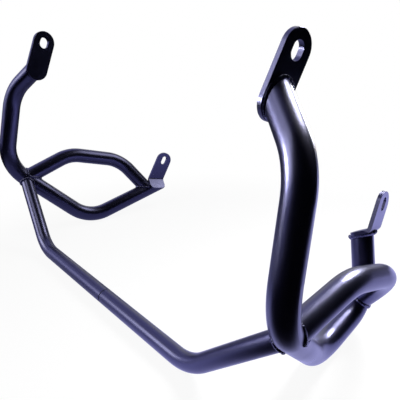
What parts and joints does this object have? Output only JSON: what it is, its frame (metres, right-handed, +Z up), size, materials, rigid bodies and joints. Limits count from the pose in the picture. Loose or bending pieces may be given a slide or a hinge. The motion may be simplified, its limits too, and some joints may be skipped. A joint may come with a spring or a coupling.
{
  "type": "engine guard",
  "caption": "Motorcycle engine guard of bent round steel tube in satin black: uprights, rear loops and a cross tube under the engine, with slotted tabs to bolt it to the frame.",
  "frame": {"origin": "on the floor under the middle of the box around the guard, in its mounted attitude", "axes": "+X to the rider's left, +Y to the rear of the motorcycle, +Z up"},
  "size_m": [0.664, 0.331, 0.3609],
  "materials": {
    "coated_steel": "satin black powder coat",
    "coated_weld": "satin black powder coat over weld beads",
    "bare_steel": "bare turned steel"
  },
  "bodies": {
    "root": {"joint_spigot": "bare_steel", "left_cross_tube": "coated_steel", "left_cross_weld": "coated_weld", "left_loop_front_weld": "coated_weld", "left_loop_rear_weld": "coated_weld", "left_loop_tube": "coated_steel", "left_main_tube": "coated_steel", "left_rear_tab": "coated_steel", "left_rear_weld": "coated_weld", "left_upper_tab": "coated_steel", "left_upper_weld": "coated_weld", "right_cross_tube": "coated_steel", "right_cross_weld": "coated_weld", "right_loop_front_weld": "coated_weld", "right_loop_rear_weld": "coated_weld", "right_loop_tube": "coated_steel", "right_main_tube": "coated_steel", "right_rear_tab": "coated_steel", "right_rear_weld": "coated_weld", "right_upper_tab": "coated_steel", "right_upper_weld": "coated_weld"}
  },
  "joints": []
}
